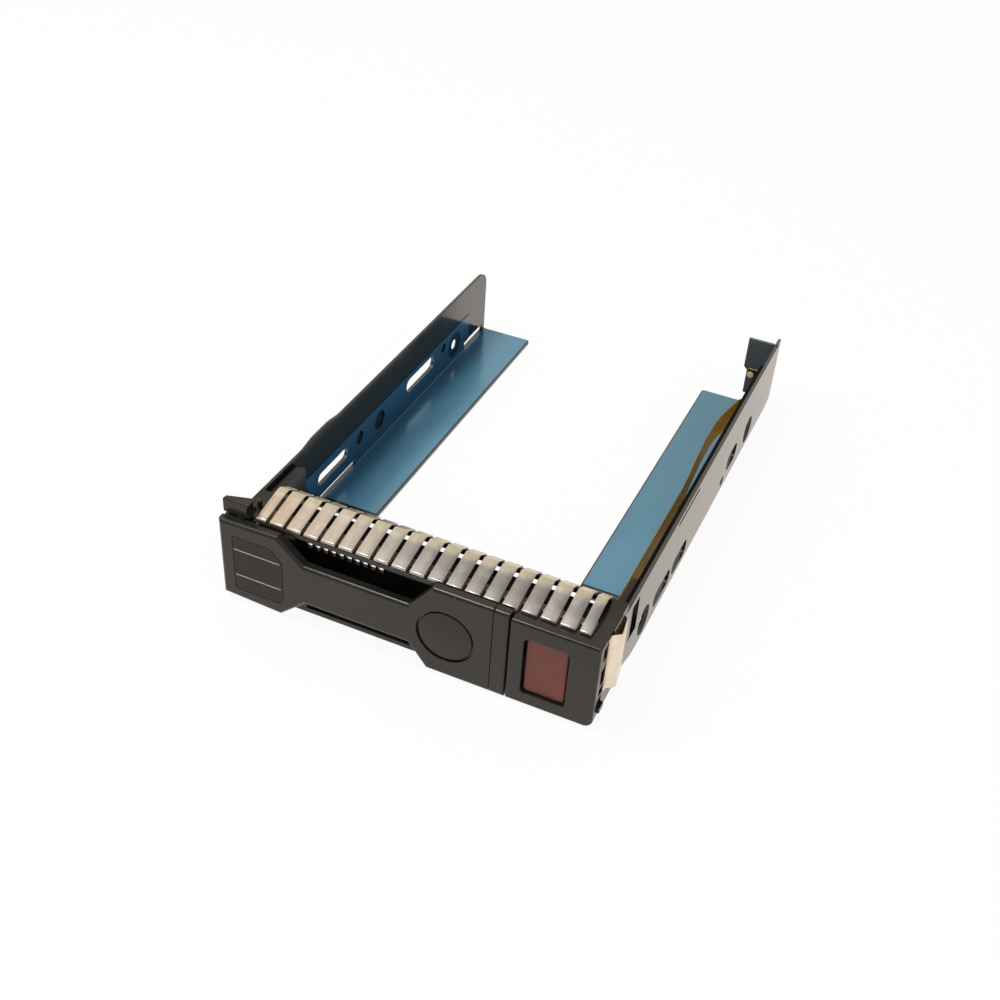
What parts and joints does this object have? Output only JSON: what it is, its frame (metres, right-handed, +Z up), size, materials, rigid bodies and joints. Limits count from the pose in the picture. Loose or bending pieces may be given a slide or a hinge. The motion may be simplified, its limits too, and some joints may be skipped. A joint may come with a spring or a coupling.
{
  "type": "hot swap drive carrier",
  "caption": "Hot swap carrier for a 3.5 inch drive: black bezel with swing lever and release button, sprung shielding fingers, and folded rails with ledges.",
  "frame": {"origin": "middle of the base: half way across and along the whole, on the underside of the rails", "axes": "+X to the right seen from the front, +Y from the front face to the rear, +Z up"},
  "size_m": [0.1109, 0.169, 0.0323],
  "materials": {
    "rail_steel": "glossy black coated sheet",
    "blue_film": "satin blue film",
    "black_moulding": "fine matt texture",
    "smoked_clear": "dark translucent",
    "label_black": "matt",
    "red_button": "matt dark red",
    "spring_steel": "drawn",
    "latch_plastic": "smooth moulded",
    "finger_metal": "rolled, slightly warm",
    "board": "solder mask",
    "led_clear": "clear",
    "amber_flex": "glossy polyimide",
    "guide_plastic": "smooth moulded",
    "contact_gold": "plated"
  },
  "bodies": {
    "carrier": {"left_rail": "rail_steel", "right_rail": "rail_steel", "left_film": "blue_film", "right_film": "blue_film", "bezel_body": "black_moulding", "button_spring": "spring_steel", "pivot_pin": "spring_steel", "lever_spring": "spring_steel", "emi_finger_strip": "finger_metal", "emi_side_leaf": "finger_metal", "status_board": "board", "status_leds": "led_clear", "board_screws": "spring_steel", "board_connector": "latch_plastic", "flex_cable": "amber_flex", "flex_guide": "guide_plastic", "rear_stiffener": "guide_plastic", "rear_contacts": "contact_gold"},
    "lever": {"lever": "black_moulding", "lever_end_trim": "black_moulding", "ring_disc": "black_moulding", "ring_light_guide": "smoked_clear", "label_inlay": "label_black"},
    "button": {"release_button": "red_button"},
    "latch": {"latch_slider": "latch_plastic"}
  },
  "joints": [
    {"name": "lever_swing", "type": "hinge", "parent": "carrier", "child": "lever", "pos_m": [-0.05056, -0.07952, 0.014], "axis": [0, 0, -1], "range_deg": [0, 50]},
    {"name": "button_press", "type": "slide", "parent": "carrier", "child": "button", "axis": [0, 1, 0], "range_m": [0, 0.0015], "stiffness_N_per_m": 400, "springref_m": -0.001, "deforming": ["button_spring"]},
    {"name": "latch_slide", "type": "slide", "parent": "carrier", "child": "latch", "axis": [1, 0, 0], "range_m": [0, 0.0015]}
  ],
  "couplings": [
    {"joint": "latch_slide", "follows": "button_press", "ratio": 1}
  ]
}
